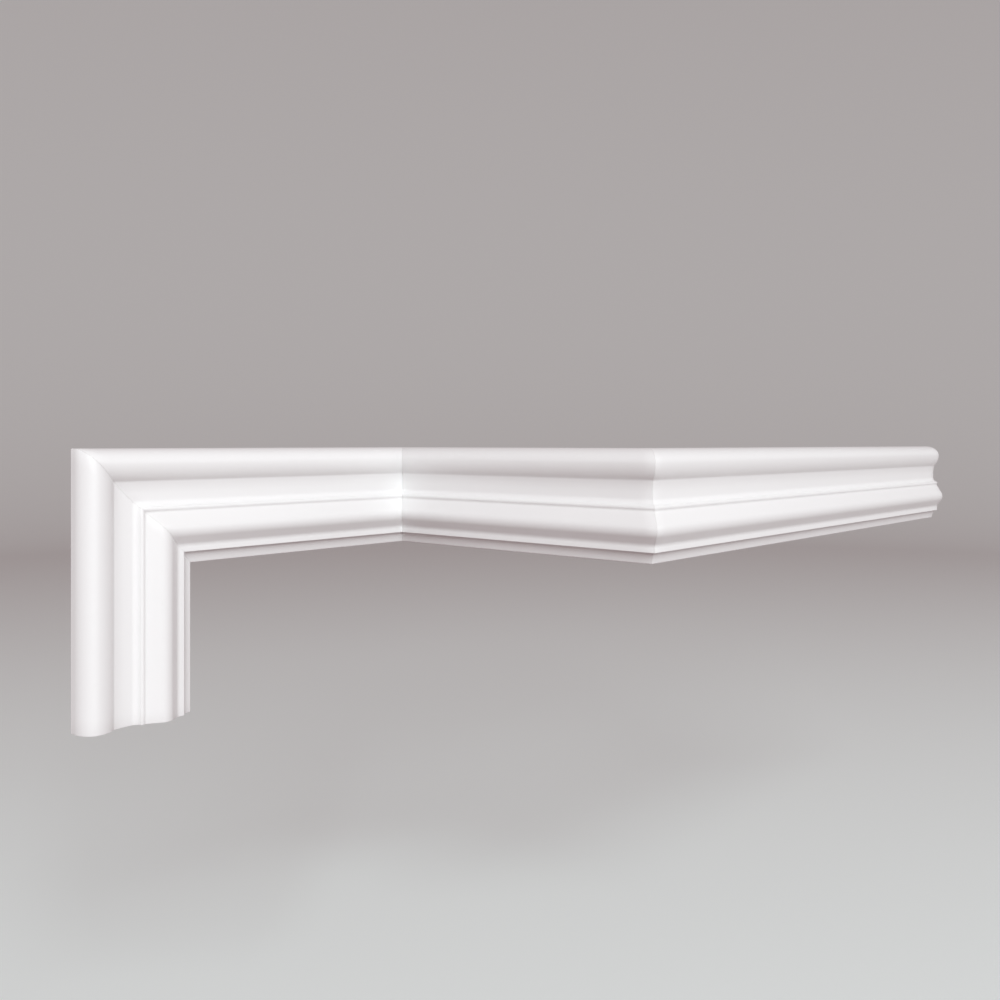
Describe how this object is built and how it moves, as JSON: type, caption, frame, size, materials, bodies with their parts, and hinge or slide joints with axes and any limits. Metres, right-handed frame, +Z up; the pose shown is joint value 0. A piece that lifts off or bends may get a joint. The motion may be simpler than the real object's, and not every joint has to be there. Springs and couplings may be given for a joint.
{
  "type": "wall panel moulding",
  "caption": "White panel moulding in mitred lengths that follows an inside and an outside wall corner, with a short upright leg; torus, cove, bead and nose section.",
  "frame": {"origin": "middle of the left run's flat back, where it is fixed to the wall", "axes": "+X along the left and right runs, from the upright leg towards the free end; +Y into the wall behind the left run; +Z up"},
  "size_m": [0.971, 0.3054, 0.207],
  "materials": {
    "white_primer": "smooth factory-primed white, satin-matte"
  },
  "bodies": {
    "root": {"upright_leg": "white_primer", "left_run": "white_primer", "return_run": "white_primer", "right_run": "white_primer"}
  },
  "joints": []
}
